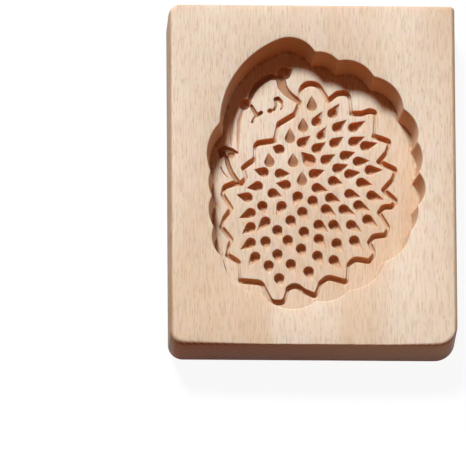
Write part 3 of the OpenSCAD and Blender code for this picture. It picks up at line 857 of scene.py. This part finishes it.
def makeBeech(look):
    material, tree = newMaterial("beechSandedBare")
    place = addNode(tree, "ShaderNodeTexCoord")
    spot = addNode(tree, "ShaderNodeVectorMath", {"operation": "SCALE", "Scale": 1 / mm},
                   {0: place.outputs["Object"]}).outputs[0]
    xyz = addNode(tree, "ShaderNodeSeparateXYZ", None, {0: spot})
    rings = growthRings(tree, look, spot)
    flecks = rayFlecks(tree, look, spot)
    pores = poreLines(tree, look, spot)
    planed = planedGrain(tree, look, spot, xyz, rings, flecks, pores)
    sawn = sawnEnds(tree, look, xyz, rings)
    cut = cutWalls(tree, look, xyz, rings, planed)

    # end grain shows where a face lies across the grain: sawn at the block's ends, cut inside
    fromEnd = addNode(tree, "ShaderNodeMath", {"operation": "ABSOLUTE"}, {0: xyz.outputs["Y"]})
    outer = addNode(tree, "ShaderNodeMapRange",
                    {**smoothStep, "From Min": look["endFace"][0], "From Max": look["endFace"][1]},
                    {"Value": fromEnd.outputs[0]})
    ends = addNode(tree, "ShaderNodeMix", colourMix, {0: outer.outputs[0], 6: cut, 7: sawn})
    axes = addNode(tree, "ShaderNodeSeparateXYZ", None, {0: place.outputs["Normal"]})
    across = addNode(tree, "ShaderNodeMath", {"operation": "ABSOLUTE"}, {0: axes.outputs["Y"]})
    endShare = addNode(tree, "ShaderNodeMapRange",
                       {**smoothStep, "From Min": look["acrossGrain"][0],
                        "From Max": look["acrossGrain"][1]}, {"Value": across.outputs[0]})
    wood = addNode(tree, "ShaderNodeMix", colourMix,
                   {0: endShare.outputs[0], 6: planed, 7: ends.outputs[2]})

    # painted shade: the long sides are darker and greyer
    fromMiddle = addNode(tree, "ShaderNodeMath", {"operation": "ABSOLUTE"}, {0: xyz.outputs["X"]})
    sideShade = addNode(tree, "ShaderNodeMapRange",
                    {**smoothStep, "From Min": look["sideStart"][0],
                     "From Max": look["sideStart"][1], "To Max": look["sideShadeShare"]},
                    {"Value": fromMiddle.outputs[0]})
    wood = addNode(tree, "ShaderNodeMix",
                   {**colourMix, "blend_type": "MULTIPLY", 7: hexColour(look["side"])},
                   {0: sideShade.outputs[0], 6: wood.outputs[2]})

    # painted shade: deep pits and the groove are redder than planed wood, shallow pits and strokes
    # browner
    paintedShade = addNode(tree, "ShaderNodeAttribute", {"attribute_name": "paintedShade"})
    shadeHere = addNode(tree, "ShaderNodeMapRange", {"To Max": look["paintedShadeShare"]},
                    {"Value": paintedShade.outputs["Fac"]})
    wood = addNode(tree, "ShaderNodeMix", {**colourMix, 7: hexColour(look["paintedShadeColour"])},
                   {0: shadeHere.outputs[0], 6: wood.outputs[2]})
    shallowShade = addNode(tree, "ShaderNodeMapRange", {"From Min": 1.0, "From Max": 2.0},
                     {"Value": paintedShade.outputs["Fac"]})
    wood = addNode(tree, "ShaderNodeMix", {**colourMix, 7: hexColour(look["shallowShadeColour"])},
                   {0: shallowShade.outputs[0], 6: wood.outputs[2]})

    # sanding leaves the hard rings a little proud of the pores and flecks
    raised = addNode(tree, "ShaderNodeMath", {"operation": "SUBTRACT"}, {0: pores, 1: flecks})
    raised = addNode(tree, "ShaderNodeMath", {"operation": "MULTIPLY_ADD", 1: look["ringRelief"]},
                     {0: rings, 2: raised.outputs[0]})
    relief = addNode(tree, "ShaderNodeBump",
                     {"Strength": look["reliefStrength"], "Distance": look["relief"] * mm},
                     {"Height": raised.outputs[0]})
    dry = addNode(tree, "ShaderNodeMapRange",
                  {"To Min": look["roughness"][0], "To Max": look["roughness"][1]},
                  {"Value": pores})
    skin = addNode(tree, "ShaderNodeBsdfPrincipled",
                   {"Metallic": 0.0, "IOR": 1.48, "Specular IOR Level": look["shine"],
                    "Subsurface Weight": look["inside"],
                    "Subsurface Radius": look["insideColours"],
                    "Subsurface Scale": look["insideReach"] * mm},
                   {"Base Color": wood.outputs[2], "Roughness": dry.outputs[0],
                    "Normal": relief.outputs[0]})
    addNode(tree, "ShaderNodeOutputMaterial", None, {"Surface": skin.outputs[0]})
    return material


beech = makeBeech(beechLook)
print("beech made")

mouldBlock = makeMouldBlock(blockShape, carving)
mouldBlock.data.materials.clear()
mouldBlock.data.materials.append(beech)
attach(mouldBlock, "root")
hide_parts("mould_block")


# Studio

studio = {
    "sky": 0.11, "skyColour": "#FF8645",    # even light from all round, warmed by the wood
    # window light from behind, a little to the left
    "key": 4.03, "keyColour": "#F3FCFF", "keySoftness": 12, "keyAzimuth": 20, "keyElevation": 53,
    "under": 2.4, "underSoftness": 60,    # soft light from below, which only the underside sees
    # white paper, a hair above the underside, so that the light from below reaches the block
    "floorSize": 6.0, "floorLift": 0.00002, "floorColour": "#D0D0D0", "floorWhite": 1.01,
    "shadowShare": 0.08,       # how much of the floor's white is real light, so shadows show in it
}

# a long lens far off, at the photograph's angle: the view's axes, and its middle as a height on
# the block, in mm, and steps to the right and up from there
view = {
    "right": (0.99903624, -0.00592389, 0.04349145), "up": (-0.00712432, 0.95582707, 0.29384327),
    "back": (-0.043311, -0.29386992, 0.95486367), "middle": (9.5, -26.50, -14.24),
    "distance": 6.0, "width": 157.66, "sensor": 36, "clip": (0.5, 12),
}


def makeFloor(light):
    bpy.ops.mesh.primitive_plane_add(size=light["floorSize"], location=(0, 0, light["floorLift"]))
    floor = bpy.context.active_object
    floor.name = "floor"
    material, tree = newMaterial("paperWhite")
    matt = addNode(tree, "ShaderNodeBsdfDiffuse", {"Color": hexColour(light["floorColour"])})
    thin = addNode(tree, "ShaderNodeBsdfDiffuse",
                   {"Color": [light["shadowShare"]] * 3 + [1.0]})
    glow = addNode(tree, "ShaderNodeEmission",
                   {"Color": [1.0] * 4, "Strength": light["floorWhite"] - light["shadowShare"]})
    white = addNode(tree, "ShaderNodeAddShader", None, {0: thin.outputs[0], 1: glow.outputs[0]})
    both = addNode(tree, "ShaderNodeMixShader", None,
                   {0: directRays(tree), 1: matt.outputs[0], 2: white.outputs[0]})
    # from below the floor is open, so that the underside can be looked at
    side = addNode(tree, "ShaderNodeNewGeometry")
    clear = addNode(tree, "ShaderNodeBsdfTransparent")
    surface = addNode(tree, "ShaderNodeMixShader", None,
                      {0: side.outputs["Backfacing"], 1: both.outputs[0], 2: clear.outputs[0]})
    addNode(tree, "ShaderNodeOutputMaterial", None, {"Surface": surface.outputs[0]})
    floor.data.materials.append(material)


def makeSky(light):
    world = bpy.data.worlds.new("studioSky")
    bpy.context.scene.world = world
    world.use_nodes = True
    tree = world.node_tree
    tree.nodes.clear()
    glow = addNode(tree, "ShaderNodeBackground",
                   {"Color": hexColour(light["skyColour"]), "Strength": light["sky"]})
    paper = addNode(tree, "ShaderNodeBackground", {"Color": [1.0] * 4, "Strength": 1.0})
    both = addNode(tree, "ShaderNodeMixShader", None,
                   {0: directRays(tree), 1: glow.outputs[0], 2: paper.outputs[0]})
    addNode(tree, "ShaderNodeOutputWorld", None, {"Surface": both.outputs[0]})


def makeKey(light):
    azimuth, elevation = math.radians(light["keyAzimuth"]), math.radians(light["keyElevation"])
    toward = Vector((-math.sin(azimuth) * math.cos(elevation),
                     math.cos(azimuth) * math.cos(elevation), math.sin(elevation)))
    bpy.ops.object.light_add(type="SUN", location=toward)
    key = bpy.context.active_object
    key.name = "key"
    key.rotation_euler = toward.to_track_quat("Z", "Y").to_euler()
    key.data.energy = light["key"]
    key.data.color = hexColour(light["keyColour"])[:3]
    key.data.angle = math.radians(light["keySoftness"])


def makeUnder(light):
    bpy.ops.object.light_add(type="SUN", location=(0, 0, -1), rotation=(math.pi, 0, 0))
    under = bpy.context.active_object
    under.name = "under"
    under.data.energy = light["under"]
    under.data.angle = math.radians(light["underSoftness"])


def makeCamera(view):
    right, up, back = [Vector(view[way]) for way in ("right", "up", "back")]
    height, rightBy, upBy = [step * mm for step in view["middle"]]
    aim = Vector((0, 0, height)) + right * rightBy + up * upBy
    bpy.ops.object.camera_add()
    camera = bpy.context.active_object
    camera.name = "camera"
    camera.data.sensor_width = view["sensor"]
    camera.data.lens = view["sensor"] * view["distance"] / (view["width"] * mm)
    camera.data.clip_start, camera.data.clip_end = view["clip"]
    turn = Matrix((right, up, back)).transposed().to_4x4()
    camera.matrix_world = Matrix.Translation(aim + back * view["distance"]) @ turn
    bpy.context.scene.camera = camera


makeFloor(studio)
makeSky(studio)
makeKey(studio)
makeUnder(studio)
makeCamera(view)
bpy.context.scene.view_settings.view_transform = "Standard"
print("studio made")
